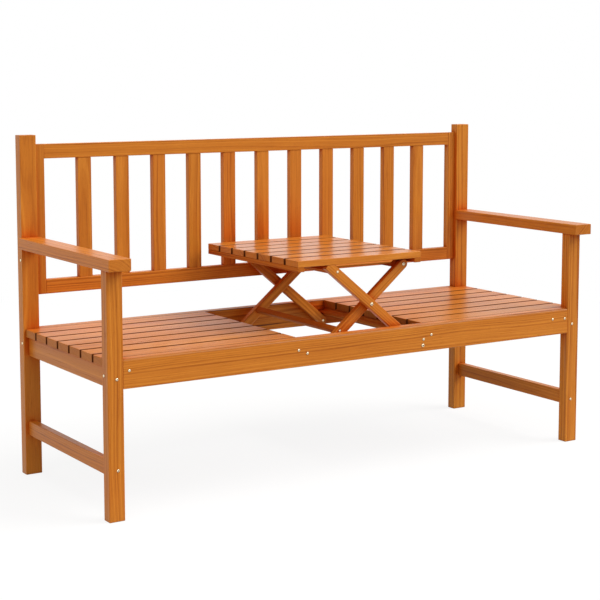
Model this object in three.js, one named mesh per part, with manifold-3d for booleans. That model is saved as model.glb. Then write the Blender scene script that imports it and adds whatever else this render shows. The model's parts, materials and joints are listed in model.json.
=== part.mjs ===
import * as THREE from 'three';
import { mergeVertices } from 'three/addons/utils/BufferGeometryUtils.js';
import Module from 'manifold-3d';

// Three-seat slatted garden bench with a slatted table that rises out of the middle of the seat.
// All lengths are in millimetres. X runs to the bench's right, Y to its back, Z up from the floor.
// Inside the bench group, Y is zero on the front face of the front legs.

// Legs and posts
const bench_width = 1485;
const front_leg_width = 41;
const front_leg_depth = 30;
const rear_post_width = 45;
const rear_post_depth = 30;
const rear_post_height = 898;
const clear_depth = 477;

// Seat
const seat_height = 390;
const seat_rail_height = 72;
const apron_nose_radius = 7;
const seat_slat_count = 7;
const seat_slat_gap = 6;
const seat_slat_thickness = 20.5;
const seat_slat_end_inset = 6.5;

// Side frames
const side_rail_thickness = 28;
const side_rail_height = 50.5;
const side_rail_inset = 14;
const stretcher_thickness = 20;
const stretcher_height = 38;
const stretcher_bottom = 107;
const stretcher_inset = 9.5;

// Armrests
const arm_width = 58;
const arm_thickness = 29;
const arm_top = 632;
const arm_overhang_side = 9.5;
const arm_overhang_front = 34;
const arm_edge_radius = 2;

// Back panel, fixed between the rear posts
const back_frame_thickness = 20;
const back_stile_width = 26.5;
const back_rail_height = 38;
const back_bottom = 478;
const back_top = 873.5;
const back_slat_count = 11;
const back_slat_width = 38.5;
const back_slat_thickness = 18;
const back_end_gap = 95.8;

// Rebated bearers on both sides of the well
const bearer_width = 26;
const bearer_height = 20;
const ledge_width = 15;
const ledge_height = 11;

// Table
const table_side_play = 6;
const table_side_gap = 1;
const table_front_gap = 3;
const table_back_gap = 7;
const table_slat_count = 7;
const table_slat_gap = 6;
const table_slat_thickness = 17;
const table_batten_width = 20;
const table_batten_height = 12;
const table_lift = 193.5;
const lip_width = 16;
const lip_height = 8;
const lip_length_share = 0.846;
const hinge_rail_width = 24;
const hinge_rail_below_pin = 11;

// Folding legs under the table: the outer pair turns on the seat frame, the inner pair on the table
const fold_leg_width = 25.5;
const fold_leg_thickness = 17;
const fold_leg_gap = 2;
const long_arm = 188;
const hinge_inset = 36;
const frame_pin_inset = 18;
const frame_pin_above_rail = 16.5;
const table_pin_below_slats = 16;
const slide_end_reach = 26;
const tie_bar_width = 16;
const tie_bar_height = 12;
const outer_tie_above_axis = 3;
const inner_tie_above_axis = 5;
const outer_tie_from_hinge = 9;
const inner_tie_from_foot = 78;
const pin_radius = 4;
const pin_reach = 13;

// Joinery and finish
const tenon_thickness = 10;
const tenon_length = 18;
const stub_length = 11;
const tenon_shoulder = 9;
const slat_tenon_length = 12;
const slat_tenon_thickness = 9;
const slat_tenon_shoulder = 5;
const tenon_root = 6;
const fit_gap = 0.2;
const pin_gap = 0.1;
const groove_gap = 0.3;
const rest_gap = 0.3;
const edge_radius = 1.6;
const slat_edge_radius = 1.2;
const small_edge_radius = 1.2;
const end_ease = 1;
const leg_edge_ease = 1;

// Facets
const corner_segments = 4;
const leg_end_segments = 18;
const pin_segments = 32;
const merge_distance = 0.0001;

// Levels and faces that follow from the sizes above
const half_width = bench_width / 2;
const rear_face = front_leg_depth + clear_depth;
const bench_back = rear_face + rear_post_depth;
const depth_centre = (bench_back - arm_overhang_front) / 2;
const seat_rail_bottom = seat_height - seat_rail_height;
const slat_underside = seat_height - seat_slat_thickness;
const arm_underside = arm_top - arm_thickness;
const leg_inner = half_width - front_leg_width;
const post_inner = half_width - rear_post_width;
const stile_inner = post_inner - back_stile_width;
const back_face = bench_back - back_frame_thickness;
const back_slat_span = 2 * (stile_inner - back_end_gap) - back_slat_width;
const back_slat_pitch = back_slat_span / (back_slat_count - 1);

// Folding linkage
const frame_pin_z = seat_rail_bottom + frame_pin_above_rail;
const table_top_raised = seat_height + table_lift;
const table_underside = table_top_raised - table_slat_thickness;
const table_pin_z = table_underside - table_pin_below_slats;
const short_arm = long_arm - hinge_inset;
const arms_together = long_arm + short_arm;
const well_half_width = (arms_together + slide_end_reach) / 2 + frame_pin_inset;
const table_half_width = well_half_width - table_side_play;
const frame_pin_x = well_half_width - frame_pin_inset;
const raised_angle = Math.asin((table_pin_z - frame_pin_z) / arms_together);
const folded_angle = Math.asin((table_pin_z - table_lift - frame_pin_z) / arms_together);
const raised_cos = Math.cos(raised_angle);
const raised_sin = Math.sin(raised_angle);
const pivot_x = frame_pin_x - long_arm * raised_cos;
const pivot_z = frame_pin_z + long_arm * raised_sin;
const table_shift = (long_arm - short_arm) * (Math.cos(folded_angle) - raised_cos);
const lowered_table_x = table_half_width + table_side_gap - well_half_width;
const table_x = lowered_table_x + table_shift;
const table_front = front_leg_depth + table_front_gap;
const table_back = rear_face - table_back_gap;
const table_depth = table_back - table_front;
const leg_half = fold_leg_width / 2;
const inner_plane = fold_leg_thickness + fold_leg_gap;

const wasm = await Module();
wasm.setup();

function wood(red, green, blue, roughness) {
  const colour = new THREE.Color();
  colour.setRGB(red / 255, green / 255, blue / 255, THREE.SRGBColorSpace);
  return new THREE.MeshStandardMaterial({ color: colour, roughness, metalness: 0 });
}

function frame_wood() {
  return wood(190, 108, 46, 0.42);
}

function slat_wood() {
  return wood(198, 118, 58, 0.4);
}

function leg_wood() {
  return wood(182, 98, 40, 0.45);
}

// A rectangle round the origin with its four corners rounded, from the lower left anticlockwise
function rounded_outline(width, height, radii) {
  const x = width / 2;
  const y = height / 2;
  const quarter = Math.PI / 2;
  const [r0, r1, r2, r3] = radii;
  const outline = new THREE.Shape();
  outline.moveTo(-x + r0, -y);
  outline.lineTo(x - r1, -y);
  outline.absarc(x - r1, -y + r1, r1, -quarter, 0, false);
  outline.lineTo(x, y - r2);
  outline.absarc(x - r2, y - r2, r2, 0, quarter, false);
  outline.lineTo(-x + r3, y);
  outline.absarc(-x + r3, y - r3, r3, quarter, Math.PI, false);
  outline.lineTo(-x, -y + r0);
  outline.absarc(-x + r0, -y + r0, r0, Math.PI, Math.PI + quarter, false);
  return outline;
}

// The outline drawn out along Z round the origin, with its two ends eased
function drawn_out(outline, length, ease, segments) {
  const depth = length - 2 * ease;
  const geometry = new THREE.ExtrudeGeometry(outline, {
    depth,
    steps: 1,
    curveSegments: segments,
    bevelEnabled: true,
    bevelThickness: ease,
    bevelSize: ease,
    bevelOffset: -ease,
    bevelSegments: 1,
  });
  geometry.translate(0, 0, -depth / 2);
  return geometry;
}

function even(radius) {
  return [radius, radius, radius, radius];
}

function board_along_x(length, depth, height, radii) {
  const geometry = drawn_out(rounded_outline(depth, height, radii), length, end_ease, corner_segments);
  geometry.rotateX(Math.PI / 2);
  geometry.rotateZ(Math.PI / 2);
  return geometry;
}

function board_along_y(width, length, height, radii) {
  const geometry = drawn_out(rounded_outline(width, height, radii), length, end_ease, corner_segments);
  geometry.rotateX(Math.PI / 2);
  return geometry;
}

function board_along_z(width, depth, length, radii) {
  return drawn_out(rounded_outline(width, depth, radii), length, end_ease, corner_segments);
}

// A block is its two opposite corners in the bench group's own coordinates
function block(low, high) {
  const from = low.map((value, axis) => Math.min(value, high[axis]));
  const to = low.map((value, axis) => Math.max(value, high[axis]));
  return { from, to };
}

function grown(shape, gap) {
  return { from: shape.from.map((value) => value - gap), to: shape.to.map((value) => value + gap) };
}

function block_geometry(shape) {
  const size = shape.to.map((value, axis) => value - shape.from[axis]);
  const geometry = new THREE.BoxGeometry(size[0], size[1], size[2]);
  const middle = shape.to.map((value, axis) => (value + shape.from[axis]) / 2);
  geometry.translate(middle[0], middle[1], middle[2]);
  return geometry;
}

function solid_of(geometry) {
  const plain = geometry.clone();
  plain.deleteAttribute('normal');
  plain.deleteAttribute('uv');
  const welded = mergeVertices(plain, merge_distance);
  const mesh = new wasm.Mesh({
    numProp: 3,
    vertProperties: new Float32Array(welded.attributes.position.array),
    triVerts: new Uint32Array(welded.index.array),
  });
  return new wasm.Manifold(mesh);
}

function geometry_of(solid) {
  const mesh = solid.getMesh();
  const geometry = new THREE.BufferGeometry();
  geometry.setAttribute('position', new THREE.BufferAttribute(new Float32Array(mesh.vertProperties), 3));
  geometry.setIndex(new THREE.BufferAttribute(new Uint32Array(mesh.triVerts), 1));
  const flat = geometry.toNonIndexed();
  flat.computeVertexNormals();
  return flat;
}

function worked(stock, joined, cut) {
  let solid = solid_of(stock);
  for (const geometry of joined) {
    solid = solid.add(solid_of(geometry));
  }
  for (const geometry of cut) {
    solid = solid.subtract(solid_of(geometry));
  }
  return geometry_of(solid);
}

function piece(name, geometry, position, material) {
  const mesh = new THREE.Mesh(geometry, material);
  mesh.name = name;
  mesh.position.set(position[0], position[1], position[2]);
  return mesh;
}

// A board with its tenons added and its mortises cut; the blocks are given in bench coordinates
function jointed(name, stock, position, material, tenons, mortises) {
  const local = (shape) => {
    const geometry = block_geometry(shape);
    geometry.translate(-position[0], -position[1], -position[2]);
    return geometry;
  };
  const cuts = mortises.map((shape) => local(grown(shape, fit_gap)));
  return piece(name, worked(stock, tenons.map(local), cuts), position, material);
}

function side_name(side) {
  return side < 0 ? 'left' : 'right';
}

// Tenons, each shared by the board that carries it and the board that takes it

function front_apron_tenon(side) {
  const back = tenon_shoulder + tenon_thickness;
  const low = [side * (leg_inner - tenon_root), tenon_shoulder, seat_rail_bottom + tenon_shoulder];
  const high = [side * (leg_inner + tenon_length), back, seat_height - tenon_shoulder];
  return block(low, high);
}

function rear_rail_tenon(side) {
  const back = bench_back - slat_tenon_shoulder;
  const low = [side * (post_inner - tenon_root), back - tenon_thickness, seat_rail_bottom + tenon_shoulder];
  const high = [side * (post_inner + tenon_length), back, seat_height - tenon_shoulder];
  return block(low, high);
}

// A stub tenon on either end of a rail that runs from front to back
function stub(side, outer, thickness, bottom, height, at_back) {
  const middle = side * (outer - thickness / 2);
  const half = tenon_thickness / 2;
  const start = at_back ? rear_face - tenon_root : front_leg_depth - stub_length;
  const end = at_back ? rear_face + stub_length : front_leg_depth + tenon_root;
  const low = [middle - half, start, bottom + tenon_shoulder];
  const high = [middle + half, end, bottom + height - tenon_shoulder];
  return block(low, high);
}

function side_rail_stub(side, at_back) {
  const outer = half_width - side_rail_inset;
  const bottom = slat_underside - side_rail_height;
  return stub(side, outer, side_rail_thickness, bottom, side_rail_height, at_back);
}

function stretcher_stub(side, at_back) {
  const outer = half_width - stretcher_inset;
  return stub(side, outer, stretcher_thickness, stretcher_bottom, stretcher_height, at_back);
}

function leg_top_tenon(side) {
  const middle = side * (half_width - front_leg_width / 2);
  const half = front_leg_width / 2 - tenon_shoulder;
  const low = [middle - half, tenon_shoulder, arm_underside - tenon_root];
  const high = [middle + half, front_leg_depth - tenon_shoulder, arm_underside + tenon_length];
  return block(low, high);
}

function arm_middle(side) {
  return side * (half_width + arm_overhang_side - arm_width / 2);
}

function arm_tenon(side) {
  const middle = side * (half_width - rear_post_width / 2);
  const half = rear_post_width / 2 - tenon_shoulder;
  const low = [middle - half, rear_face - tenon_root, arm_underside + tenon_shoulder];
  const high = [middle + half, rear_face + stub_length, arm_top - tenon_shoulder];
  return block(low, high);
}

function back_rail_tenon(side, bottom) {
  const front = back_face + slat_tenon_shoulder;
  const low = [side * (stile_inner - tenon_root), front, bottom + tenon_shoulder];
  const back = bench_back - slat_tenon_shoulder;
  const high = [side * (stile_inner + tenon_length), back, bottom + back_rail_height - tenon_shoulder];
  return block(low, high);
}

function back_slat_x(index) {
  return (index - (back_slat_count - 1) / 2) * back_slat_pitch;
}

function back_slat_tenon(index, at_top) {
  const lower_face = back_bottom + back_rail_height;
  const upper_face = back_top - back_rail_height;
  const start = at_top ? upper_face - tenon_root : lower_face - slat_tenon_length;
  const end = at_top ? upper_face + slat_tenon_length : lower_face + tenon_root;
  const half = back_slat_width / 2 - slat_tenon_shoulder;
  const middle = bench_back - back_frame_thickness / 2;
  const low = [back_slat_x(index) - half, middle - slat_tenon_thickness / 2, start];
  const high = [back_slat_x(index) + half, middle + slat_tenon_thickness / 2, end];
  return block(low, high);
}

// Frame

function front_leg(side) {
  const stock = board_along_z(front_leg_width, front_leg_depth, arm_underside, even(edge_radius));
  const position = [side * (half_width - front_leg_width / 2), front_leg_depth / 2, arm_underside / 2];
  const mortises = [front_apron_tenon(side), side_rail_stub(side, false), stretcher_stub(side, false)];
  const name = 'front_leg_' + side_name(side);
  return jointed(name, stock, position, frame_wood(), [leg_top_tenon(side)], mortises);
}

function rear_post(side) {
  const stock = board_along_z(rear_post_width, rear_post_depth, rear_post_height, even(edge_radius));
  const middle = rear_face + rear_post_depth / 2;
  const position = [side * (half_width - rear_post_width / 2), middle, rear_post_height / 2];
  const fronts = [side_rail_stub(side, true), stretcher_stub(side, true), arm_tenon(side)];
  const mortises = [rear_rail_tenon(side), ...fronts];
  return jointed('rear_post_' + side_name(side), stock, position, frame_wood(), [], mortises);
}

function armrest(side) {
  const length = rear_face + arm_overhang_front;
  const stock = board_along_y(arm_width, length, arm_thickness, even(arm_edge_radius));
  const position = [arm_middle(side), (rear_face - arm_overhang_front) / 2, arm_top - arm_thickness / 2];
  const name = 'armrest_' + side_name(side);
  return jointed(name, stock, position, frame_wood(), [arm_tenon(side)], [leg_top_tenon(side)]);
}

function side_rail(side) {
  const stock = board_along_y(side_rail_thickness, clear_depth, side_rail_height, even(edge_radius));
  const x = side * (half_width - side_rail_inset - side_rail_thickness / 2);
  const position = [x, front_leg_depth + clear_depth / 2, slat_underside - side_rail_height / 2];
  const stubs = [side_rail_stub(side, false), side_rail_stub(side, true)];
  return jointed('side_rail_' + side_name(side), stock, position, frame_wood(), stubs, []);
}

function side_stretcher(side) {
  const stock = board_along_y(stretcher_thickness, clear_depth, stretcher_height, even(edge_radius));
  const x = side * (half_width - stretcher_inset - stretcher_thickness / 2);
  const position = [x, front_leg_depth + clear_depth / 2, stretcher_bottom + stretcher_height / 2];
  const stubs = [stretcher_stub(side, false), stretcher_stub(side, true)];
  return jointed('side_stretcher_' + side_name(side), stock, position, frame_wood(), stubs, []);
}

// The hole and the groove that guide the folding legs, in the frame board at the front or the back
function guide_cuts(face, inward, position) {
  const reach = pin_reach + rest_gap;
  const pin_x = frame_pin_x - position[0];
  const pin_z = frame_pin_z - position[2];
  const hole = pin_hole(pin_x, face - position[1], pin_z, 2 * reach);
  const raised_x = frame_pin_x - 2 * long_arm * raised_cos;
  const folded_x = frame_pin_x - 2 * long_arm * Math.cos(folded_angle);
  const room = pin_radius + groove_gap;
  const low = [folded_x - room, face, frame_pin_z - room];
  const high = [raised_x + room, face - inward * reach, frame_pin_z + room];
  const groove = block_geometry(block(low, high));
  groove.translate(-position[0], -position[1], -position[2]);
  return [hole, groove];
}

function front_apron() {
  const radii = [edge_radius, edge_radius, edge_radius, apron_nose_radius];
  const stock = board_along_x(2 * leg_inner, front_leg_depth, seat_rail_height, radii);
  const position = [0, front_leg_depth / 2, seat_height - seat_rail_height / 2];
  const cuts = guide_cuts(front_leg_depth, 1, position);
  const tenons = [front_apron_tenon(-1), front_apron_tenon(1)];
  return frame_board('front_apron', stock, position, tenons, cuts);
}

function rear_rail() {
  const stock = board_along_x(2 * post_inner, rear_post_depth, seat_rail_height, even(edge_radius));
  const position = [0, rear_face + rear_post_depth / 2, seat_height - seat_rail_height / 2];
  const cuts = guide_cuts(rear_face, -1, position);
  return frame_board('rear_rail', stock, position, [rear_rail_tenon(-1), rear_rail_tenon(1)], cuts);
}

function frame_board(name, stock, position, tenons, cuts) {
  const added = tenons.map((shape) => {
    const geometry = block_geometry(shape);
    geometry.translate(-position[0], -position[1], -position[2]);
    return geometry;
  });
  return piece(name, worked(stock, added, cuts), position, frame_wood());
}

// Stepped bearer: the seat slats end on its upper step, the lowered table rests on its ledge
function well_bearer(side) {
  const top = slat_underside;
  const bottom = top - bearer_height;
  const outer = well_half_width + bearer_width;
  const inner = well_half_width - ledge_width;
  const outline = new THREE.Shape();
  outline.moveTo(side * inner, bottom);
  outline.lineTo(side * outer, bottom);
  outline.lineTo(side * outer, top);
  outline.lineTo(side * well_half_width, top);
  outline.lineTo(side * well_half_width, bottom + ledge_height);
  outline.lineTo(side * inner, bottom + ledge_height);
  outline.closePath();
  const geometry = new THREE.ExtrudeGeometry(outline, { depth: clear_depth, steps: 1, bevelEnabled: false });
  geometry.rotateX(Math.PI / 2);
  return piece('well_bearer_' + side_name(side), geometry, [0, rear_face, 0], frame_wood());
}

// Back panel

function back_stile(side) {
  const height = back_top - back_bottom;
  const stock = board_along_z(back_stile_width, back_frame_thickness, height, even(small_edge_radius));
  const x = side * (stile_inner + back_stile_width / 2);
  const position = [x, bench_back - back_frame_thickness / 2, back_bottom + height / 2];
  const upper = back_rail_tenon(side, back_top - back_rail_height);
  const mortises = [back_rail_tenon(side, back_bottom), upper];
  return jointed('back_stile_' + side_name(side), stock, position, frame_wood(), [], mortises);
}

function back_rail(name, bottom, at_top) {
  const radii = even(small_edge_radius);
  const stock = board_along_x(2 * stile_inner, back_frame_thickness, back_rail_height, radii);
  const position = [0, bench_back - back_frame_thickness / 2, bottom + back_rail_height / 2];
  const tenons = [back_rail_tenon(-1, bottom), back_rail_tenon(1, bottom)];
  const mortises = [];
  for (let index = 0; index < back_slat_count; index += 1) {
    mortises.push(back_slat_tenon(index, at_top));
  }
  return jointed(name, stock, position, frame_wood(), tenons, mortises);
}

function back_slat(index) {
  const bottom = back_bottom + back_rail_height;
  const length = back_top - back_rail_height - bottom;
  const stock = board_along_z(back_slat_width, back_slat_thickness, length, even(slat_edge_radius));
  const position = [back_slat_x(index), bench_back - back_frame_thickness / 2, bottom + length / 2];
  const tenons = [back_slat_tenon(index, false), back_slat_tenon(index, true)];
  const name = 'back_slat_' + String(index + 1).padStart(2, '0');
  return jointed(name, stock, position, slat_wood(), tenons, []);
}

// Seat slats

function seat_slat(side, index) {
  const gaps = (seat_slat_count - 1) * seat_slat_gap;
  const width = (clear_depth - gaps) / seat_slat_count;
  const outer = half_width - seat_slat_end_inset;
  const length = outer - well_half_width;
  const geometry = board_along_x(length, width, seat_slat_thickness, even(slat_edge_radius));
  const y = front_leg_depth + width / 2 + index * (width + seat_slat_gap);
  const position = [side * (outer - length / 2), y, seat_height - seat_slat_thickness / 2];
  return piece('seat_slat_' + side_name(side) + '_' + (index + 1), geometry, position, slat_wood());
}

// Table, drawn raised

function table_slat(index) {
  const gaps = (table_slat_count - 1) * table_slat_gap;
  const width = (table_depth - gaps) / table_slat_count;
  const geometry = board_along_x(2 * table_half_width, width, table_slat_thickness, even(slat_edge_radius));
  const y = table_front + width / 2 + index * (width + table_slat_gap);
  const position = [table_x, y, table_top_raised - table_slat_thickness / 2];
  return piece('table_slat_' + (index + 1), geometry, position, slat_wood());
}

function table_batten(side) {
  const radii = even(small_edge_radius);
  const geometry = board_along_y(table_batten_width, table_depth, table_batten_height, radii);
  const x = table_x + side * (table_half_width - table_batten_width / 2);
  const position = [x, table_front + table_depth / 2, table_underside - table_batten_height / 2];
  return piece('table_batten_' + side_name(side), geometry, position, slat_wood());
}

// The lip's slanted left end stops the outer front leg when the table is up
function table_front_lip() {
  const bottom = table_underside - lip_height;
  const along = (bottom - frame_pin_z - leg_half * raised_cos) / raised_sin;
  const edge_x = frame_pin_x - along * raised_cos + leg_half * raised_sin;
  const left = edge_x + rest_gap / raised_sin;
  const right = left + lip_length_share * table_half_width;
  const slant = lip_height * raised_cos / raised_sin;
  const outline = new THREE.Shape();
  outline.moveTo(left, bottom);
  outline.lineTo(right, bottom);
  outline.lineTo(right + slant, table_underside);
  outline.lineTo(left - slant, table_underside);
  outline.closePath();
  const geometry = new THREE.ExtrudeGeometry(outline, { depth: lip_width, steps: 1, bevelEnabled: false });
  geometry.rotateX(Math.PI / 2);
  return piece('table_front_lip', geometry, [0, table_front + lip_width, 0], slat_wood());
}

function pin_hole(x, y, z, reach) {
  const radius = pin_radius + pin_gap;
  const hole = new THREE.CylinderGeometry(radius, radius, reach, pin_segments);
  hole.translate(x, y, z);
  return hole;
}

// Rail under the slats whose two ends take the pins of the inner legs
function table_hinge_rail() {
  const front = table_front + inner_plane + fold_leg_thickness + fold_leg_gap;
  const back = table_back - inner_plane - fold_leg_thickness - fold_leg_gap;
  const height = table_pin_below_slats + hinge_rail_below_pin;
  const stock = board_along_y(hinge_rail_width, back - front, height, even(small_edge_radius));
  const x = pivot_x + short_arm * raised_cos;
  const position = [x, (front + back) / 2, table_underside - height / 2];
  const reach = 2 * (pin_reach + rest_gap);
  const half = (back - front) / 2;
  const pin_z = table_pin_z - position[2];
  const cuts = [pin_hole(0, -half, pin_z, reach), pin_hole(0, half, pin_z, reach)];
  return piece('table_hinge_rail', worked(stock, [], cuts), position, leg_wood());
}

// Folding legs, drawn round the pivot where the two pairs cross; their long side lies along X

function leg_body(outline) {
  const geometry = drawn_out(outline, fold_leg_thickness, leg_edge_ease, leg_end_segments);
  geometry.rotateX(Math.PI / 2);
  return geometry;
}

// The outer leg is round at its foot; its top is cut level, just under the slats of the raised table
function outer_leg_outline() {
  const cut_height = table_pin_below_slats - rest_gap;
  const level = short_arm * raised_sin + cut_height;
  const end = short_arm + slide_end_reach;
  const outline = new THREE.Shape();
  outline.moveTo(-end, -leg_half);
  outline.lineTo(long_arm, -leg_half);
  outline.absarc(long_arm, 0, leg_half, -Math.PI / 2, Math.PI / 2, false);
  outline.lineTo(-(level - leg_half * raised_cos) / raised_sin, leg_half);
  outline.lineTo(-end, (level - end * raised_sin) / raised_cos);
  outline.closePath();
  return outline;
}

function inner_leg_outline() {
  const outline = new THREE.Shape();
  outline.moveTo(-long_arm, -leg_half);
  outline.lineTo(short_arm, -leg_half);
  outline.absarc(short_arm, 0, leg_half, -Math.PI / 2, Math.PI / 2, false);
  outline.lineTo(-long_arm, leg_half);
  outline.absarc(-long_arm, 0, leg_half, Math.PI / 2, Math.PI * 3 / 2, false);
  return outline;
}

function leg_pin(x, from, to) {
  const geometry = new THREE.CylinderGeometry(pin_radius, pin_radius, Math.abs(to - from), pin_segments);
  geometry.translate(x, (from + to) / 2, 0);
  return geometry;
}

// Outer leg: a pin into the seat frame at its foot and a pin into the inner leg at the crossing
function outer_leg(name, y, out, frame_gap) {
  const stock = leg_body(outer_leg_outline());
  const half = fold_leg_thickness / 2;
  const foot = leg_pin(long_arm, out * (half - pin_radius), out * (half + frame_gap + pin_reach));
  const cross = leg_pin(0, -out * (half - pin_radius), -out * (half + fold_leg_gap + pin_reach));
  return piece(name, worked(stock, [foot, cross], []), [0, y, 0], leg_wood());
}

// Inner leg: a pin into the hinge rail at its top and a long pin that slides in the frame's groove
function inner_leg(name, y, out, frame_gap) {
  const stock = leg_body(inner_leg_outline());
  const half = fold_leg_thickness / 2;
  const top = leg_pin(short_arm, -out * (half - pin_radius), -out * (half + fold_leg_gap + pin_reach));
  const past_outer_leg = half + inner_plane + frame_gap + pin_reach;
  const foot = leg_pin(-long_arm, out * (half - pin_radius), out * past_outer_leg);
  const hole = pin_hole(0, out * half, 0, 2 * (pin_reach + rest_gap));
  return piece(name, worked(stock, [top, foot], [hole]), [0, y, 0], leg_wood());
}

function tie_bar(name, x, front, back, above_axis) {
  const radii = even(small_edge_radius);
  const geometry = board_along_y(tie_bar_width, back - front, tie_bar_height, radii);
  return piece(name, geometry, [x, (front + back) / 2, above_axis], leg_wood());
}

function outer_legs() {
  const group = new THREE.Group();
  group.name = 'outer_legs';
  group.position.set(pivot_x, 0, pivot_z);
  group.rotation.y = raised_angle;
  const half = fold_leg_thickness / 2;
  group.add(outer_leg('outer_leg_front', table_front + half, -1, table_front_gap));
  group.add(outer_leg('outer_leg_rear', table_back - half, 1, table_back_gap));
  const front = table_front + fold_leg_thickness;
  const back = table_back - fold_leg_thickness;
  group.add(tie_bar('outer_tie_bar', outer_tie_from_hinge - short_arm, front, back, outer_tie_above_axis));
  return group;
}

function inner_legs() {
  const group = new THREE.Group();
  group.name = 'inner_legs';
  group.position.set(pivot_x, 0, pivot_z);
  group.rotation.y = -raised_angle;
  const middle = inner_plane + fold_leg_thickness / 2;
  group.add(inner_leg('inner_leg_front', table_front + middle, -1, table_front_gap));
  group.add(inner_leg('inner_leg_rear', table_back - middle, 1, table_back_gap));
  const front = table_front + inner_plane + fold_leg_thickness;
  const back = table_back - inner_plane - fold_leg_thickness;
  group.add(tie_bar('inner_tie_bar', inner_tie_from_foot - long_arm, front, back, inner_tie_above_axis));
  return group;
}

function add_side(group, side) {
  group.add(front_leg(side));
  group.add(rear_post(side));
  group.add(armrest(side));
  group.add(side_rail(side));
  group.add(side_stretcher(side));
  group.add(well_bearer(side));
  group.add(back_stile(side));
  for (let index = 0; index < seat_slat_count; index += 1) {
    group.add(seat_slat(side, index));
  }
}

function add_back(group) {
  group.add(back_rail('back_bottom_rail', back_bottom, false));
  group.add(back_rail('back_top_rail', back_top - back_rail_height, true));
  for (let index = 0; index < back_slat_count; index += 1) {
    group.add(back_slat(index));
  }
}

function add_table(group) {
  for (let index = 0; index < table_slat_count; index += 1) {
    group.add(table_slat(index));
  }
  group.add(table_batten(-1));
  group.add(table_batten(1));
  group.add(table_front_lip());
  group.add(table_hinge_rail());
  group.add(outer_legs());
  group.add(inner_legs());
}

function bench() {
  const group = new THREE.Group();
  group.name = 'bench';
  group.position.set(0, -depth_centre, 0);
  group.add(front_apron());
  group.add(rear_rail());
  add_side(group, -1);
  add_side(group, 1);
  add_back(group);
  add_table(group);
  return group;
}

const model = new THREE.Group();
model.name = 'garden_bench';
model.add(bench());

export default model;
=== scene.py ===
"""Looks of the slatted garden bench with a rising centre table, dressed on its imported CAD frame."""

from collections import namedtuple
from dataclasses import dataclass
import json
import math
import random

import bmesh
import bpy
from mathutils import Matrix, Vector


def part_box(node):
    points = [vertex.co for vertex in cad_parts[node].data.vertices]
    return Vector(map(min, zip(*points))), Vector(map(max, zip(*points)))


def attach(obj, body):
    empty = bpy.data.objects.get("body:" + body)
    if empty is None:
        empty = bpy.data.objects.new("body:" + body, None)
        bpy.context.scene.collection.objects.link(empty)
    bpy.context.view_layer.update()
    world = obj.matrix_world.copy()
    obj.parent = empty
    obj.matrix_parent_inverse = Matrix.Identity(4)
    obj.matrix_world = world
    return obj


MM = 0.001

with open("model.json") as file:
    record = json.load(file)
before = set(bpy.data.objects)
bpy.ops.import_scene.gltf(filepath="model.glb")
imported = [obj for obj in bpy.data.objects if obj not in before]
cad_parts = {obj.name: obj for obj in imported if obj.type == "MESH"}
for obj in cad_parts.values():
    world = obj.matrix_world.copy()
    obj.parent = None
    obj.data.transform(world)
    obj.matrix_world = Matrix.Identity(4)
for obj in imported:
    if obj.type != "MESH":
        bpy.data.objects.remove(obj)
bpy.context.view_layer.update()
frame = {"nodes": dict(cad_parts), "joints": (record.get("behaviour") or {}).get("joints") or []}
nodes = frame["nodes"]
pins = {joint["name"]: Vector(joint["pos_m"]) for joint in frame["joints"]}
frame_pin, crossing_pin, table_pin = pins["table_fold"], pins["leg_crossing"], pins["table_hinge"]

# Sockets of a colour mix node, which carries the sockets of its other data types too.
MIX_FIRST, MIX_SECOND, MIX_RESULT = 6, 7, 2


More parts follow.
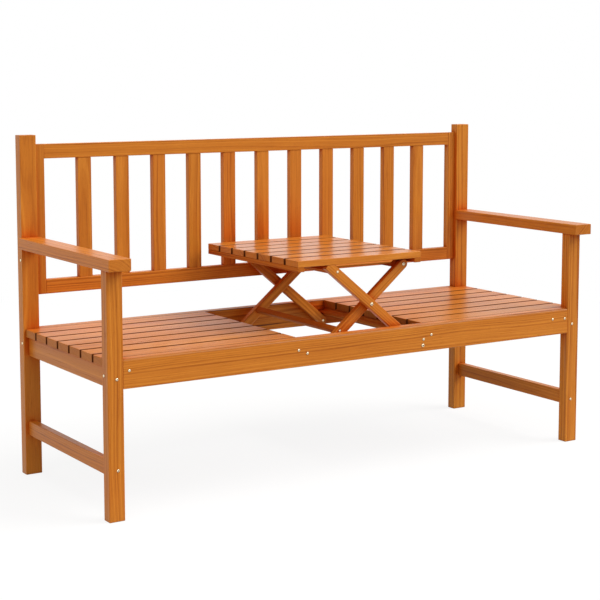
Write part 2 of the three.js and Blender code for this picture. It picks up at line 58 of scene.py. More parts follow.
class Tree:
    """Short calls for building one node tree."""

    def __init__(self, tree, output):
        self.tree = tree
        tree.nodes.clear()
        self.out = self.node(output)

    def node(self, kind, **settings):
        made = self.tree.nodes.new(kind)
        for key, value in settings.items():
            setattr(made, key, value)
        return made

    def link(self, source, target):
        self.tree.links.new(source, target)

    def put(self, socket, value):
        if isinstance(value, bpy.types.NodeSocket):
            self.link(value, socket)
        else:
            socket.default_value = value

    def maths(self, kind, a, b=None, c=None):
        made = self.node("ShaderNodeMath", operation=kind)
        for socket, value in zip(made.inputs, (a, b, c)):
            if value is not None:
                self.put(socket, value)
        return made.outputs[0]

    def vector(self, kind, a, b=None):
        made = self.node("ShaderNodeVectorMath", operation=kind)
        self.put(made.inputs[0], a)
        if b is not None:
            self.put(made.inputs[1], b)
        scalar = kind in ("LENGTH", "DOT_PRODUCT")
        return made.outputs["Value" if scalar else "Vector"]

    def weighted(self, parts, shares, start):
        """A start value plus a share of each named part."""
        total = start
        for name, share in shares.items():
            total = self.maths("MULTIPLY_ADD", parts[name], share, total)
        return total

    def noise(self, place, stretch, detail, roughness):
        """Noise whose features are 1 / stretch metres long in each direction."""
        made = self.node("ShaderNodeTexNoise")
        self.put(made.inputs["Vector"], self.vector("MULTIPLY", place, stretch))
        made.inputs["Scale"].default_value = 1.0
        made.inputs["Detail"].default_value = detail
        made.inputs["Roughness"].default_value = roughness
        return made.outputs

    def ranged(self, value, low, high, to_low, to_high):
        """A smooth step from to_low to to_high as the value goes from low to high."""
        made = self.node("ShaderNodeMapRange", interpolation_type="SMOOTHSTEP")
        self.put(made.inputs["Value"], value)
        made.inputs["From Min"].default_value = low
        made.inputs["From Max"].default_value = high
        made.inputs["To Min"].default_value = to_low
        made.inputs["To Max"].default_value = to_high
        return made.outputs["Result"]

    def ramp(self, value, stops):
        made = self.node("ShaderNodeValToRGB")
        self.put(made.inputs["Fac"], value)
        elements = made.color_ramp.elements
        while len(elements) < len(stops):
            elements.new(0.5)
        for element, (place, colour) in zip(elements, stops):
            element.position = place
            element.color = (*colour, 1.0)
        return made.outputs["Color"]

    def mix(self, factor, a, b, blend="MIX"):
        made = self.node("ShaderNodeMix", data_type="RGBA", blend_type=blend)
        self.put(made.inputs["Factor"], factor)
        self.put(made.inputs[MIX_FIRST], a)
        self.put(made.inputs[MIX_SECOND], b)
        return made.outputs[MIX_RESULT]

    def axis(self, vector, name):
        made = self.node("ShaderNodeSeparateXYZ")
        self.link(vector, made.inputs[0])
        return made.outputs[name]

    def openness(self, distance):
        """How open the surface is to its surroundings within a distance, from 0 to 1."""
        made = self.node("ShaderNodeAmbientOcclusion", samples=8)
        made.inputs["Distance"].default_value = distance
        return made.outputs["AO"]

    def bumped(self, shader, height, strength, distance):
        made = self.node("ShaderNodeBump")
        made.inputs["Strength"].default_value = strength
        made.inputs["Distance"].default_value = distance
        self.link(height, made.inputs["Height"])
        self.link(made.outputs["Normal"], shader.inputs["Normal"])

    def finish(self, shader):
        self.link(shader, self.out.inputs["Surface"])


def material_tree(name):
    material = bpy.data.materials.new(name)
    material.use_nodes = True
    return material, Tree(material.node_tree, "ShaderNodeOutputMaterial")


# How each board's grain runs, as turns in degrees that bring it onto Z: along X, Y or Z, or up a folding leg.
leg_rise = math.degrees(math.atan2(crossing_pin.z - frame_pin.z, frame_pin.x - crossing_pin.x))
GRAIN_X = (0.0, -90.0, 0.0)
GRAIN_Y = (90.0, 0.0, 0.0)
GRAIN_Z = (0.0, 0.0, 0.0)
GRAINS = [
    (("inner_leg",), (0.0, leg_rise - 90.0, 0.0)),
    (("outer_leg",), (0.0, 90.0 - leg_rise, 0.0)),
    (("armrest", "side_", "well_", "table_batten", "table_hinge", "inner_tie", "outer_tie"), GRAIN_Y),
    (("front_leg", "rear_post", "back_slat", "back_stile"), GRAIN_Z),
    (("",), GRAIN_X),
]

# The wood's stain colours from its darkest rings to its palest, each at its place in the grain's range.
STAIN_STOPS = [
    (0.375, (0.365, 0.092, 0.0080)),
    (0.460, (0.530, 0.162, 0.0165)),
    (0.530, (0.575, 0.188, 0.0205)),
    (0.610, (0.660, 0.236, 0.0290)),
]
STAIN_PORE = (0.270, 0.068, 0.0050, 1.0)
STAIN_END = (0.240, 0.062, 0.0100, 1.0)
STAIN_RUBBED = (0.680, 0.280, 0.0600, 1.0)
# Painted shade: the tint multiplied in where boards shade each other.
SHELTER_SHADE_TINT = (0.92, 0.37, 0.07, 1.0)
# Painted shade in corners and joints, with some real dirt: the near-black tint mixed in there.
CORNER_SHADE_AND_DIRT = (0.090, 0.018, 0.0030, 1.0)
# Painted shade: the dark tint for narrow gaps between slats, their rims, the slat ends at the well and the
# rear rail's seam.
GAP_SHADE_TINT = (0.070, 0.0155, 0.0028, 1.0)
# Painted shade that darkens the apron's rounded nose, which the key lamp lights brightly.
NOSE_SHADE_TINT = (0.68, 0.70, 0.74, 1.0)

# Noise patterns: features per metre across the grain twice and along it, layers of detail, and roughness.
WANDER = ((7.0, 7.0, 1.1), 2.0, 0.50)
FIBRE = ((620.0, 620.0, 7.0), 4.0, 0.62)
PORE = ((1500.0, 1500.0, 60.0), 1.0, 0.50)
BROAD = ((16.0, 16.0, 1.6), 2.0, 0.50)
CLOUD = ((40.0, 40.0, 9.0), 3.0, 0.50)
RUB = ((60.0, 60.0, 14.0), 3.0, 0.65)
RINGS_PER_METRE, RING_DETAIL, RING_ROUGHNESS = 230.0, 3.0, 0.62
WANDER_REACH = (0.034, 0.034, 0.0)
PITH_NEAREST, PITH_FARTHEST = 0.07, 0.16
PITH_SLIDE = 3.0

# Smooth steps: where they start and end, and the values there.
PORE_STEP = (0.62, 0.72, 0.0, 1.0)
RUB_STEP = (0.36, 0.66, 0.0, 1.0)
END_GRAIN_STEP = (0.75, 0.95, 0.0, 1.0)
EDGE_STEP = (0.80, 0.985, 1.0, 0.0)
SHELTER_SHADE_STEP = (0.30, 0.94, 1.0, 0.0)
OFF_FLOOR_STEP = (0.0, 0.20, 0.0, 1.0)
CORNER_STEP = (0.30, 0.75, 0.22, 0.0)
JOINT_STEP = (0.12, 0.42, 0.90, 0.0)
GAP_FACE_STEP = (0.04, 0.20, 0.0, 0.97)
SHADED_SPECULAR_STEP = (0.0, 1.0, 0.50, 0.18)
SEAM_SHADE_FACING = (0.74, 0.86)
NOSE_SHADE_FACING = (0.78, 0.95)
UP_AND_FORWARD = (0.0, -math.sqrt(0.5), math.sqrt(0.5))

WEAR_WIDTH = 2.2 * MM
WEAR_IN_PATCHES, WEAR_EVERYWHERE = 0.30, 0.06
SHADE_AND_DIRT_DEPTH = 18.0 * MM
SHADE_AND_DIRT_RAGGED, SHADE_AND_DIRT_START = 0.10, -0.05
SHELTER_SHADE_DEPTH = 220.0 * MM
GAP_RIM, GAP_RIM_FADED = 1.2 * MM, 3.2 * MM
GAP_RIM_SHADE = 0.80
GAP_SHADE_UNEVEN, GAP_SHADE_LEAST = 0.20, 0.88

COLOUR_SHARES = {"rings": 0.44, "fibre": 0.30, "broad": 0.18, "cloud": 0.08}
PORE_SHARE = 0.34
ROUGHNESS = 0.12
ROUGHNESS_SHARES = {
    "fibre": 0.26, "cloud": 0.12, "end_grain": 0.16, "worn": 0.20, "shade_and_dirt": 0.55, "shelter_shade": 0.34,
}
RELIEF_SHARES = {"fibre": 0.55, "rings": 0.35, "pore": -0.70}
RELIEF_STRENGTH = 0.22
RELIEF_DEPTH = 0.4 * MM
VARNISH_IOR = 1.24


def grain_turn(name):
    return next(turn for starts, turn in GRAINS if name.startswith(starts))


@dataclass
class Finish:
    """How a board's stain, varnish and painted shade differ from a plain one's.

    Front and back gap shade: 1 where its face to the front or the back lies in a narrow gap, which is painted
    dark as shade.
    Well end shade: a painted shadow on the end at the well, negative where that end faces left.
    ends: stain that its end grain drinks. matt: added roughness.
    Nose shade: painted shade on a rounded front edge. Seam shade: painted shade in the eased edge behind the
    last slat.
    """
    front_gap_shade: float = 0.0
    back_gap_shade: float = 0.0
    well_end_shade: float = 0.0
    ends: float = 0.15
    matt: float = 0.0
    nose_shade: float = 0.0
    seam: float = 0.0
    tone: tuple = (1.0, 1.0, 1.0)


# Boards under the table and seat: rougher, with a darker, redder tone that is painted shade.
SHADED_HIDDEN_BOARDS = ("inner_tie", "outer_tie", "well_", "table_hinge", "table_batten", "table_front_lip")
SPECIAL_FINISHES = {
    "front_apron": Finish(nose_shade=1.0),
    "rear_rail": Finish(seam=0.96),
    "rear_post_right": Finish(tone=(1.06, 1.18, 1.18)),
}


def finish_of(name):
    if name in SPECIAL_FINISHES:
        return SPECIAL_FINISHES[name]
    if name.startswith("seat_slat"):
        return Finish(front_gap_shade=1.0, back_gap_shade=1.0, well_end_shade=0.32 if "_left" in name else -0.32, ends=0.36)
    if name.startswith("table_slat"):
        front, back = float(name != "table_slat_1"), float(name != "table_slat_7")
        return Finish(front_gap_shade=front, back_gap_shade=back, matt=-0.07)
    if name.startswith(SHADED_HIDDEN_BOARDS):
        return Finish(matt=0.30, tone=(0.86, 0.72, 0.50))
    return Finish()


def board_space(t, place, turn, box, chance):
    """Places in the board's tree, Z along the grain and X, Y from the pith, and the grain's direction."""
    side = chance.uniform(0.0, 2.0 * math.pi)
    far = chance.uniform(PITH_NEAREST, PITH_FARTHEST)
    slide = chance.uniform(-PITH_SLIDE, PITH_SLIDE)
    pith = Vector((far * math.cos(side), far * math.sin(side), slide))
    angles = [math.radians(angle) for angle in turn]
    rotation = Matrix.Rotation(angles[1], 3, "Y") @ Matrix.Rotation(angles[0], 3, "X")
    mapping = t.node("ShaderNodeMapping", vector_type="POINT")
    t.link(place, mapping.inputs["Vector"])
    mapping.inputs["Rotation"].default_value = angles
    mapping.inputs["Location"].default_value = pith - rotation @ ((box[0] + box[1]) / 2)
    along = rotation.inverted() @ Vector((0.0, 0.0, 1.0))
    return mapping.outputs["Vector"], tuple(along)


def growth_rings(t, bent):
    """Bands of early and late wood by distance from the pith."""
    made = t.node("ShaderNodeTexNoise", noise_dimensions="1D")
    t.link(t.vector("LENGTH", t.vector("MULTIPLY", bent, (1.0, 1.0, 0.0))), made.inputs["W"])
    made.inputs["Scale"].default_value = RINGS_PER_METRE
    made.inputs["Detail"].default_value = RING_DETAIL
    made.inputs["Roughness"].default_value = RING_ROUGHNESS
    return made.outputs["Fac"]


def grain_patterns(t, board):
    """The grain's separate patterns by name, each from 0 to 1."""
    wander = t.vector("SUBTRACT", t.noise(board, *WANDER)["Color"], (0.5, 0.5, 0.5))
    bent = t.vector("ADD", board, t.vector("MULTIPLY", wander, WANDER_REACH))
    return {
        "rings": growth_rings(t, bent),
        "fibre": t.noise(bent, *FIBRE)["Fac"],
        "pore": t.ranged(t.noise(bent, *PORE)["Fac"], *PORE_STEP),
        "broad": t.noise(board, *BROAD)["Fac"],
        "cloud": t.noise(board, *CLOUD)["Fac"],
        "rub": t.ranged(t.noise(board, *RUB)["Fac"], *RUB_STEP),
    }


def grain_colour(t, parts, tone):
    """Stain over the grain: darker in rings and pores, all of it shifted by the board's own tone."""
    stops = [(stop, [part * share for part, share in zip(colour, tone)]) for stop, colour in STAIN_STOPS]
    colour = t.ramp(t.weighted(parts, COLOUR_SHARES, 0.0), stops)
    return t.mix(t.maths("MULTIPLY", parts["pore"], PORE_SHARE), colour, STAIN_PORE)


def end_grain(t, normal, along):
    """1 on faces that cut across the grain."""
    across = t.maths("ABSOLUTE", t.vector("DOT_PRODUCT", normal, along))
    return t.ranged(across, *END_GRAIN_STEP)


def edge_wear(t, rub):
    """Where handling has rubbed the stain off the edges, in patches."""
    bevel = t.node("ShaderNodeBevel", samples=4)
    bevel.inputs["Radius"].default_value = WEAR_WIDTH
    geometry = t.node("ShaderNodeNewGeometry")
    square = t.vector("DOT_PRODUCT", bevel.outputs["Normal"], geometry.outputs["True Normal"])
    patches = t.maths("MULTIPLY_ADD", rub, WEAR_IN_PATCHES, WEAR_EVERYWHERE)
    return t.maths("MULTIPLY", t.ranged(square, *EDGE_STEP), patches)


def painted_shelter_shade(t, place):
    """Painted shade: a deeper, redder colour where boards shade each other, found by occlusion within a
    reach. It fades out near the floor.
    """
    off_floor = t.ranged(t.axis(place, "Z"), *OFF_FLOOR_STEP)
    return t.maths("MULTIPLY", t.ranged(t.openness(SHELTER_SHADE_DEPTH), *SHELTER_SHADE_STEP), off_floor)


def corner_shade_and_dirt(t, rub):
    """Painted shade in corners and, darker still, in the joints between boards, with some real dirt in the
    joints.
    """
    hollow = t.maths("ADD", t.openness(SHADE_AND_DIRT_DEPTH), t.maths("MULTIPLY_ADD", rub, SHADE_AND_DIRT_RAGGED, SHADE_AND_DIRT_START))
    return t.maths("MAXIMUM", t.ranged(hollow, *CORNER_STEP), t.ranged(hollow, *JOINT_STEP))


def gap_shade(t, place, normal, box, finish, cloud):
    """Painted shade in the gaps: on a slat's faces in the gaps and on the rims above them, and a painted
    shadow on its end at the well.
    """
    low, high = box
    across, facing = t.axis(place, "Y"), t.axis(normal, "Y")
    to_front = t.maths("MULTIPLY", facing, -finish.front_gap_shade)
    to_back = t.maths("MULTIPLY", facing, finish.back_gap_shade)
    faces = t.ranged(t.maths("MAXIMUM", to_front, to_back), *GAP_FACE_STEP)
    front_rim_shade, back_rim_shade = GAP_RIM_SHADE * finish.front_gap_shade, GAP_RIM_SHADE * finish.back_gap_shade
    front_rim = t.ranged(across, low.y + GAP_RIM, low.y + GAP_RIM_FADED, front_rim_shade, 0.0)
    back_rim = t.ranged(across, high.y - GAP_RIM_FADED, high.y - GAP_RIM, 0.0, back_rim_shade)
    gap_shading = t.maths("MAXIMUM", faces, t.maths("MAXIMUM", front_rim, back_rim))
    gap_shading = t.maths("MAXIMUM", gap_shading, t.maths("MULTIPLY", t.axis(normal, "X"), finish.well_end_shade))
    uneven = t.maths("MULTIPLY_ADD", cloud, GAP_SHADE_UNEVEN, GAP_SHADE_LEAST)
    return t.maths("MULTIPLY", gap_shading, uneven)


def wood(name, turn, box, seed, tone, finish):
    """Stained, varnished wood: growth rings round a pith outside the board, fibres and pores along it, with
    painted shade where boards shade each other, in corners and in gaps.
    """
    material, t = material_tree(name)
    coordinates = t.node("ShaderNodeTexCoord").outputs
    place, normal = coordinates["Object"], coordinates["Normal"]
    board, along = board_space(t, place, turn, box, random.Random(seed))
    parts = grain_patterns(t, board)
    parts["end_grain"] = end_grain(t, normal, along)
    parts["worn"] = edge_wear(t, parts["rub"])
    parts["shelter_shade"] = painted_shelter_shade(t, place)
    parts["shade_and_dirt"] = corner_shade_and_dirt(t, parts["rub"])

    colour = grain_colour(t, parts, tone)
    colour = t.mix(t.maths("MULTIPLY", parts["end_grain"], finish.ends), colour, STAIN_END)
    colour = t.mix(parts["worn"], colour, STAIN_RUBBED)
    # Painted shade where boards shade each other.
    colour = t.mix(parts["shelter_shade"], colour, SHELTER_SHADE_TINT, "MULTIPLY")
    # Painted shade in corners and joints, with some dirt.
    colour = t.mix(parts["shade_and_dirt"], colour, CORNER_SHADE_AND_DIRT)
    # Painted shade in the gaps between slats, and a painted shadow on the slat ends at the well.
    if finish.front_gap_shade or finish.back_gap_shade:
        gap_shading = gap_shade(t, place, normal, box, finish, parts["cloud"])
        colour = t.mix(gap_shading, colour, GAP_SHADE_TINT)
        # The painted gap shade also makes those faces rougher.
        parts["shade_and_dirt"] = t.maths("MAXIMUM", parts["shade_and_dirt"], gap_shading)
    # Painted shade: a dark line on the rear rail's eased edge behind the last seat slat.
    if finish.seam:
        forward = t.vector("DOT_PRODUCT", normal, UP_AND_FORWARD)
        colour = t.mix(t.ranged(forward, *SEAM_SHADE_FACING, 0.0, finish.seam), colour, GAP_SHADE_TINT)
    # Painted shade on the apron's rounded front nose.
    if finish.nose_shade:
        forward = t.vector("DOT_PRODUCT", normal, UP_AND_FORWARD)
        colour = t.mix(t.ranged(forward, *NOSE_SHADE_FACING, 0.0, finish.nose_shade), colour, NOSE_SHADE_TINT, "MULTIPLY")

    shader = t.node("ShaderNodeBsdfPrincipled")
    # Painted shade on the reflections: less specular where boards shade each other.
    shaded_specular = t.ranged(parts["shelter_shade"], *SHADED_SPECULAR_STEP)
    t.link(colour, shader.inputs["Base Color"])
    t.link(t.weighted(parts, ROUGHNESS_SHARES, ROUGHNESS + finish.matt), shader.inputs["Roughness"])
    t.link(shaded_specular, shader.inputs["Specular IOR Level"])
    shader.inputs["IOR"].default_value = VARNISH_IOR
    t.bumped(shader, t.weighted(parts, RELIEF_SHARES, 0.0), RELIEF_STRENGTH, RELIEF_DEPTH)
    t.finish(shader.outputs["BSDF"])
    return material


FIRST_BOARD_SEED = 900
LIGHTEST_BOARD, DARKEST_BOARD = 1.05, 0.95
YELLOWEST_BOARD, REDDEST_BOARD = 1.04, 0.96
WELD_DISTANCE = 0.01 * MM
FACE_WEIGHT = 50


def dress_boards():
    """Gives every CAD board smooth eased edges and a wood of its own."""
    for order, name in enumerate(sorted(nodes)):
        board = nodes[name]
        chance = random.Random(FIRST_BOARD_SEED + order)
        light = chance.uniform(DARKEST_BOARD, LIGHTEST_BOARD)
        warm = chance.uniform(REDDEST_BOARD, YELLOWEST_BOARD)
        finish = finish_of(name)
        tone = [part * share for part, share in zip((light, light * warm, light * warm), finish.tone)]
        look = wood("wood_" + name, grain_turn(name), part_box(name), order, tone, finish)
        board.data.materials.clear()
        board.data.materials.append(look)
        for polygon in board.data.polygons:
            polygon.use_smooth = True
            polygon.material_index = 0
        weld = board.modifiers.new("weld", "WELD")
        weld.merge_threshold = WELD_DISTANCE
        even = board.modifiers.new("even_normals", "WEIGHTED_NORMAL")
        even.mode = "FACE_AREA"
        even.weight = FACE_WEIGHT


STEEL_CLOUD = ((450.0, 450.0, 450.0), 3.0, 0.6)
STEEL_MARKS = ((2600.0, 2600.0, 2600.0), 2.0, 0.6)
STEEL_STOPS = [(0.30, (0.88, 0.73, 0.45)), (0.55, (0.99, 0.88, 0.62)), (0.75, (1.0, 0.95, 0.76))]
STEEL_UNEVEN_GLOSS, STEEL_ROUGHNESS = 0.22, 0.20
STEEL_RELIEF_STRENGTH, STEEL_RELIEF_DEPTH = 0.15, 0.1 * MM
RIM_CLOUD = ((900.0, 900.0, 900.0), 3.0, 0.6)
RIM_STOPS = [(0.35, (0.045, 0.014, 0.005)), (0.70, (0.13, 0.038, 0.010))]
RIM_UNEVEN_GLOSS, RIM_ROUGHNESS = 0.3, 0.4
RIM_RELIEF_STRENGTH, RIM_RELIEF_DEPTH = 0.3, 0.2 * MM


def steel(name):
    """Yellow-passivated zinc on steel, with faint clouding and turning marks."""
    material, t = material_tree(name)
    place = t.node("ShaderNodeTexCoord").outputs["Object"]
    cloud = t.noise(place, *STEEL_CLOUD)["Fac"]
    shader = t.node("ShaderNodeBsdfPrincipled")
    t.link(t.ramp(cloud, STEEL_STOPS), shader.inputs["Base Color"])
    shader.inputs["Metallic"].default_value = 1.0
    rough = t.maths("MULTIPLY_ADD", cloud, STEEL_UNEVEN_GLOSS, STEEL_ROUGHNESS)
    t.link(rough, shader.inputs["Roughness"])
    marks = t.noise(place, *STEEL_MARKS)["Fac"]
    t.bumped(shader, marks, STEEL_RELIEF_STRENGTH, STEEL_RELIEF_DEPTH)
    t.finish(shader.outputs["BSDF"])
    return material


def shadow_rim(name):
    """Painted shade: the dark rim round a countersunk head and the floor of a driver recess, coloured as they
    look in shade.
    """
    material, t = material_tree(name)
    place = t.node("ShaderNodeTexCoord").outputs["Object"]
    cloud = t.noise(place, *RIM_CLOUD)["Fac"]
    shader = t.node("ShaderNodeBsdfPrincipled")
    t.link(t.ramp(cloud, RIM_STOPS), shader.inputs["Base Color"])
    t.link(t.maths("MULTIPLY_ADD", cloud, RIM_UNEVEN_GLOSS, RIM_ROUGHNESS), shader.inputs["Roughness"])
    t.bumped(shader, cloud, RIM_RELIEF_STRENGTH, RIM_RELIEF_DEPTH)
    t.finish(shader.outputs["BSDF"])
    return material


plated = steel("passivated_steel")
painted_shade_rim = shadow_rim("countersink_painted_shade")

RING_STEPS = 48
# Material slots: plated steel, and painted shade for recesses and rims.
METAL, PAINTED_SHADE_LOOK = 0, 1
SHARP_EDGE = math.radians(40)
CROSS_ARM_SHARE, CROSS_HALF_WIDTH_SHARE = 1.25, 0.34


def fixed(radius):
    """Reach of a circle at every turn."""
    return lambda turn: radius


def hexagon(size):
    """Reach of a hexagon, size from its centre to a flat, at each turn."""
    sixth = math.pi / 3.0
    return lambda turn: size / math.cos((turn % sixth) - sixth / 2.0)


def cross(size):
    """Reach of a driver's cross at each turn: four arms with straight sides."""
    arm, half = size * CROSS_ARM_SHARE, size * CROSS_HALF_WIDTH_SHARE

    def reach(turn):
        off_arm = (turn + math.pi / 4.0) % (math.pi / 2.0) - math.pi / 4.0
        if abs(arm * math.tan(off_arm)) <= half:
            return arm / math.cos(off_arm)
        return half / abs(math.sin(off_arm))

    return reach


def ring_of(mesh, radius_at, height):
    """A ring of vertices at a height, with the given reach at each turn."""
    turns = [2.0 * math.pi * step / RING_STEPS for step in range(RING_STEPS)]
    return [
        mesh.verts.new((radius_at(turn) * math.cos(turn), radius_at(turn) * math.sin(turn), height))
        for turn in turns
    ]


def join_rings(mesh, first, second, look):
    """A strip of faces between two rings."""
    for step in range(RING_STEPS):
        after = (step + 1) % RING_STEPS
        face = mesh.faces.new((first[step], first[after], second[after], second[step]))
        face.material_index = look


def turned_piece(name, rings, centre, normal, spin, body, closed=True):
    """A turned piece that stands on a face at centre, along its normal.

    Each ring is its reach at every turn, its height and the look of the strip up to the next ring.
    """
    mesh = bmesh.new()
    made = [ring_of(mesh, radius_at, height) for radius_at, height, look in rings]
    looks = [look for radius_at, height, look in rings]
    for first, second, look in zip(made, made[1:], looks):
        join_rings(mesh, first, second, look)
    if closed:
        mesh.faces.new(list(reversed(made[0])))
        mesh.faces.new(made[-1]).material_index = looks[-1]
    else:
        join_rings(mesh, made[-1], made[0], looks[-1])
    bmesh.ops.recalc_face_normals(mesh, faces=mesh.faces)
    turn = Vector((0.0, 0.0, 1.0)).rotation_difference(Vector(normal)).to_matrix().to_4x4()
    mesh.transform(Matrix.Translation(centre) @ turn @ Matrix.Rotation(spin, 4, "Z"))
    data = bpy.data.meshes.new(name)
    mesh.to_mesh(data)
    mesh.free()
    for polygon in data.polygons:
        polygon.use_smooth = True
    data.materials.append(plated)
    data.materials.append(painted_shade_rim)
    piece = bpy.data.objects.new(name, data)
    bpy.context.scene.collection.objects.link(piece)
    piece.modifiers.new("edges", "EDGE_SPLIT").split_angle = SHARP_EDGE
    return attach(piece, body)


FRONT, BACK, LEFT, RIGHT, DOWN = (0, -1, 0), (0, 1, 0), (-1, 0, 0), (1, 0, 0), (0, 0, -1)

Head = namedtuple("Head", "radius height recess recess_share")
BOLT = Head(3.3 * MM, 1.6 * MM, hexagon, 0.50)
WIDE_BOLT = Head(4.1 * MM, 1.4 * MM, hexagon, 0.50)
FLUSH_BOLT = Head(3.6 * MM, 0.25 * MM, hexagon, 0.50)
SCREW = Head(3.1 * MM, 1.4 * MM, cross, 0.46)
SLAT_SCREW = Head(3.1 * MM, 0.25 * MM, cross, 0.46)

# A head's profile from the wood up and the point of its recess, as shares of its radius and height.
HEAD_PROFILE = ((1.0, 0.30), (0.97, 0.52), (0.88, 0.76), (0.76, 0.92), (0.66, 1.0))
RECESS_POINT = (0.06, 0.12)
# The floor of the recess, as shares of its own reach and the head's height.
RECESS_FLOOR = (0.94, 0.25)
HEAD_SUNK = 0.3 * MM
RIM_FOOT, RIM_INNER, RIM_CREST = 0.02 * MM, 0.10 * MM, 0.14 * MM
RIM_CREST_SHARE, RIM_FOOT_SHARE = 1.195, 1.26


def head(name, place, normal, kind, body, spin):
    """A domed screw or bolt head with its driver recess, in a countersink rim; the rim and the recess floor
    are painted shade.
    """
    radius, height = kind.radius, kind.height
    recess = radius * kind.recess_share
    rings = [(fixed(radius), -HEAD_SUNK, METAL)]
    rings += [(fixed(radius * wide), height * up, METAL) for wide, up in HEAD_PROFILE]
    rings += [
        (kind.recess(recess), height, METAL),
        (kind.recess(recess * RECESS_FLOOR[0]), height * RECESS_FLOOR[1], PAINTED_SHADE_LOOK),
        (fixed(radius * RECESS_POINT[0]), height * RECESS_POINT[1], PAINTED_SHADE_LOOK),
    ]
    turned_piece(name, rings, place, normal, spin, body)
    rim = [
        (fixed(radius), RIM_FOOT, PAINTED_SHADE_LOOK),
        (fixed(radius), RIM_INNER, PAINTED_SHADE_LOOK),
        (fixed(radius * RIM_CREST_SHARE), RIM_CREST, PAINTED_SHADE_LOOK),
        (fixed(radius * RIM_FOOT_SHARE), RIM_FOOT, PAINTED_SHADE_LOOK),
    ]
    turned_piece(name + "_rim", rim, place, normal, spin, body, closed=False)


NUT_HALF_WIDTH, NUT_HEIGHT = 3.2 * MM, 2.6 * MM
NUT_SUNK = 0.2 * MM
# Shares of the nut's half width and height, and the look up to the next.
NUT_FLATS_TOP = 0.62
# The collar's last strip, down to the bolt's end, is painted shade.
NUT_COLLAR = ((0.98, 0.70, METAL), (0.90, 0.94, METAL), (0.78, 1.0, METAL), (0.62, 1.0, PAINTED_SHADE_LOOK))
BOLT_END = ((0.60, 0.86, METAL), (0.56, 1.16, METAL), (0.46, 1.24, METAL))


def lock_nut(name, place, normal, body, spin):
    """A hexagonal lock nut with its rounded collar and the bolt's end standing out of it."""
    flats = hexagon(NUT_HALF_WIDTH)
    rings = [(flats, -NUT_SUNK, METAL), (flats, NUT_HEIGHT * NUT_FLATS_TOP, METAL)]
    rings += [
        (fixed(NUT_HALF_WIDTH * wide), NUT_HEIGHT * up, look)
        for wide, up, look in NUT_COLLAR + BOLT_END
    ]
    turned_piece(name, rings, place, normal, spin, body)


LOW, HIGH = 0, 1

# Screws in the apron: the board and the end they are measured from, mm to its right, mm below the seat slats.
APRON_SCREWS = [
    ("well_left", "seat_slat_left_1", HIGH, -10.0, 8.1),
    ("well_right", "seat_slat_right_1", LOW, 10.0, 8.1),
    ("bearer_left", "seat_slat_left_1", HIGH, 16.0, 18.5),
    ("bearer_right", "seat_slat_right_1", LOW, -16.0, 18.5),
    ("end_left", "front_leg_left", HIGH, 15.5, 8.1),
    ("end_right", "front_leg_right", LOW, -11.5, 8.1),
    ("inboard_right", "front_leg_right", LOW, -57.0, 6.2),
]

# Bolts in the legs' fronts and the posts' backs: mm in from the outer face, and mm up from the floor.
LEG_BOLT_IN, POST_BOLT_IN = 23.8, 22.5
BOLT_LEVELS = (("upper", 343.5), ("lower", 124.2))

# Bolts in the outer faces: the board, mm back from its front face, mm up from the floor, turn in radians.
SIDE_BOLTS = [
    ("leg_side_bolt", "front_leg", 20.8, 351.5, 1.1),
    ("post_side_bolt", "rear_post", 9.3, 352.4, 2.1),
    ("post_back_bolt", "rear_post", 9.3, 572.2, 0.4),
]
SPIN_PER_MM = 0.13
SPIN_PER_SLAT = 0.7


def apron_screws():
    """Screws in the apron's face as in the photo: four beside the well and three beside the front legs."""
    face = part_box("front_apron")[LOW].y
    slats_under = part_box("seat_slat_left_1")[LOW].z
    for name, board, end, right, drop in APRON_SCREWS:
        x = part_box(board)[end].x + right * MM
        place = Vector((x, face, slats_under - drop * MM))
        head("apron_screw_" + name, place, FRONT, SCREW, "frame", x / MM * SPIN_PER_MM)


def leg_and_post_bolts():
    """The legs' bolts as the photo shows them, and the posts' hidden ones at the same levels.

    A bolt's level also serves as its turn, so that no two stand alike.
    """
    for sign, side, outer, outward in ((-1, "left", LOW, LEFT), (1, "right", HIGH, RIGHT)):
        leg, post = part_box("front_leg_" + side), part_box("rear_post_" + side)
        leg_x = leg[outer].x - sign * LEG_BOLT_IN * MM
        post_x = post[outer].x - sign * POST_BOLT_IN * MM
        for level, z in BOLT_LEVELS:
            in_leg = Vector((leg_x, leg[LOW].y, z * MM))
            in_post = Vector((post_x, post[HIGH].y, z * MM))
            head(f"leg_bolt_{side}_{level}", in_leg, FRONT, BOLT, "frame", z + sign)
            head(f"post_bolt_{side}_{level}", in_post, BACK, FLUSH_BOLT, "frame", z - sign)
        for name, board, back, up, spin in SIDE_BOLTS:
            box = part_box(f"{board}_{side}")
            place = Vector((box[outer].x, box[LOW].y + back * MM, up * MM))
            head(f"{name}_{side}", place, outward, BOLT, "frame", spin * sign)


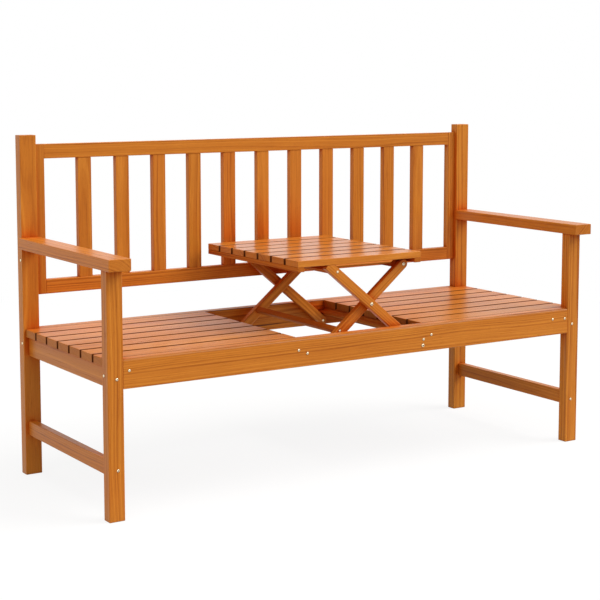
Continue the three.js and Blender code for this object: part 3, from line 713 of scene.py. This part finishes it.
def leg_fasteners():
    """Bolts on the linkage's pins and screws into its two tie bars, at the front and the rear.

    The last value of each is its turn in radians.
    """
    outer_tie, inner_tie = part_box("outer_tie_bar"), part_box("inner_tie_bar")
    outer_tie_middle, inner_tie_middle = (sum(box, Vector()) / 2 for box in (outer_tie, inner_tie))
    thickness = outer_tie[LOW].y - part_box("table_slat_1")[LOW].y

    def at(place, y):
        return Vector((place.x, y, place.z))

    apron_face, rail_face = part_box("front_apron")[LOW].y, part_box("rear_rail")[HIGH].y
    head("pivot_bolt_front", at(frame_pin, apron_face), FRONT, WIDE_BOLT, "frame", 0.3)
    head("pivot_bolt_rear", at(frame_pin, rail_face), BACK, FLUSH_BOLT, "frame", 0.9)
    for side, end, outward, inward in (("front", LOW, FRONT, BACK), ("rear", HIGH, BACK, FRONT)):
        step = Vector(outward).y * thickness
        outer_face, inner_face = outer_tie[end].y + step, inner_tie[end].y + step
        sets = (
            ("crossing_bolt", crossing_pin, outer_face, WIDE_BOLT, "outer_legs", 0.5),
            ("table_bolt", table_pin, inner_face, WIDE_BOLT, "inner_legs", 0.2),
            ("outer_tie_screw", outer_tie_middle, outer_face, SCREW, "outer_legs", 0.7),
            ("inner_tie_screw", inner_tie_middle, inner_face, SCREW, "inner_legs", 0.1),
        )
        for name, place, y, kind, body, spin in sets:
            head(f"{name}_{side}", at(place, y), outward, kind, body, spin)
        lock_nut(f"pivot_nut_{side}", at(frame_pin, outer_tie[end].y), inward, "outer_legs", 0.4)


def table_screws():
    """Screws driven up through the battens, one into each table slat."""
    slats = sorted(name for name in nodes if name.startswith("table_slat_"))
    for number, slat in enumerate(slats, 1):
        slat_low, slat_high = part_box(slat)
        for side in ("left", "right"):
            low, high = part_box(f"table_batten_{side}")
            place = Vector(((low.x + high.x) / 2, (slat_low.y + slat_high.y) / 2, low.z))
            spin = number * SPIN_PER_SLAT
            head(f"batten_screw_{side}_{number}", place, DOWN, SLAT_SCREW, "table", spin)


def pale_rays(t):
    """1 for camera, glossy and transmission rays, which see the background as white."""
    paths = t.node("ShaderNodeLightPath").outputs
    seen = t.maths("ADD", paths["Is Camera Ray"], paths["Is Glossy Ray"])
    return t.maths("MINIMUM", t.maths("ADD", seen, paths["Is Transmission Ray"]), 1.0)


def shaded(t, kind, colour, strength=None):
    """A shader of one colour, with a strength where it glows."""
    made = t.node(kind)
    made.inputs["Color"].default_value = (*colour, 1.0)
    if strength is not None:
        made.inputs["Strength"].default_value = strength
    return made.outputs[0]


def pick(t, factor, first, second):
    """The first shader where the factor is 0, the second where it is 1."""
    made = t.node("ShaderNodeMixShader")
    t.link(factor, made.inputs[0])
    t.link(first, made.inputs[1])
    t.link(second, made.inputs[2])
    return made.outputs[0]


WHITE = (1.0, 1.0, 1.0)
FLOOR_HALF = 14.0
FLOOR_ALBEDO = (0.42, 0.42, 0.42)
SHADOW_ALBEDO = (0.12, 0.12, 0.12)
SHADOW_GLOW = 0.87
WHITENING_STEP = (1.2, 3.2, 0.0, 1.0)
SKY_COLOUR = (1.0, 0.985, 0.96)
SKY_STRENGTH = 0.38


def studio_floor():
    """A plain pale floor that keeps the bench's shadow and fades to white away from it."""
    mesh = bpy.data.meshes.new("studio_floor")
    corners = [(x * FLOOR_HALF, y * FLOOR_HALF, 0) for x, y in ((-1, -1), (1, -1), (1, 1), (-1, 1))]
    mesh.from_pydata(corners, [], [(0, 1, 2, 3)])
    floor = bpy.data.objects.new("studio_floor", mesh)
    bpy.context.scene.collection.objects.link(floor)
    material, t = material_tree("studio_floor")
    near = t.node("ShaderNodeAddShader")
    t.link(shaded(t, "ShaderNodeBsdfDiffuse", SHADOW_ALBEDO), near.inputs[0])
    t.link(shaded(t, "ShaderNodeEmission", WHITE, SHADOW_GLOW), near.inputs[1])
    place = t.node("ShaderNodeTexCoord").outputs["Object"]
    away = t.ranged(t.vector("LENGTH", place), *WHITENING_STEP)
    seen = pick(t, away, near.outputs[0], shaded(t, "ShaderNodeEmission", WHITE, 1.0))
    t.finish(pick(t, pale_rays(t), shaded(t, "ShaderNodeBsdfDiffuse", FLOOR_ALBEDO), seen))
    mesh.materials.append(material)


def studio_world():
    """Soft light from all around, seen as plain white."""
    world = bpy.data.worlds.new("studio_world")
    bpy.context.scene.world = world
    world.use_nodes = True
    t = Tree(world.node_tree, "ShaderNodeOutputWorld")
    soft = shaded(t, "ShaderNodeBackground", SKY_COLOUR, SKY_STRENGTH)
    t.finish(pick(t, pale_rays(t), soft, shaded(t, "ShaderNodeBackground", WHITE, 1.0)))


# Soft lamps: degrees from the bench's front towards its right, degrees of rise, strength.
LAMPS = [
    ("key_light", 60.0, 42.0, 0.88),
    ("top_light", -10.0, 72.0, 0.26),
    ("left_light", -65.0, 14.0, 0.27),
]
LAMP_WIDTH = 40.0
LAMP_COLOUR = (1.0, 0.98, 0.95)


def studio_lamps():
    """Three broad lamps that shade the faces as in the photo."""
    for name, turn, rise, strength in LAMPS:
        light = bpy.data.lights.new(name, "SUN")
        light.angle = math.radians(LAMP_WIDTH)
        light.energy = strength * math.pi
        light.color = LAMP_COLOUR
        lamp = bpy.data.objects.new(name, light)
        lamp.rotation_euler = (math.radians(90.0 - rise), 0.0, math.radians(turn))
        bpy.context.scene.collection.objects.link(lamp)


CAMERA_PLACE = (-2.22426, -3.38682, 1.06615)
CAMERA_DOWN, CAMERA_TURN = 6.4914, 32.7479
SENSOR_WIDTH, LENS = 36.0, 89.736
CAMERA_SHIFT = -0.1
NEAREST_SEEN, FARTHEST_SEEN = 0.05, 60.0


def photo_camera():
    """The photograph's own viewpoint, as a camera tilted down a little with a small shift."""
    data = bpy.data.cameras.new("photo_camera")
    data.sensor_width = SENSOR_WIDTH
    data.lens = LENS
    data.shift_y = CAMERA_SHIFT
    data.clip_start = NEAREST_SEEN
    data.clip_end = FARTHEST_SEEN
    camera = bpy.data.objects.new("photo_camera", data)
    camera.location = CAMERA_PLACE
    camera.rotation_euler = (math.radians(90.0 - CAMERA_DOWN), 0.0, math.radians(-CAMERA_TURN))
    bpy.context.scene.collection.objects.link(camera)
    bpy.context.scene.camera = camera


dress_boards()
apron_screws()
leg_and_post_bolts()
leg_fasteners()
table_screws()
studio_floor()
studio_world()
studio_lamps()
bpy.context.scene.view_settings.view_transform = "Standard"
photo_camera()
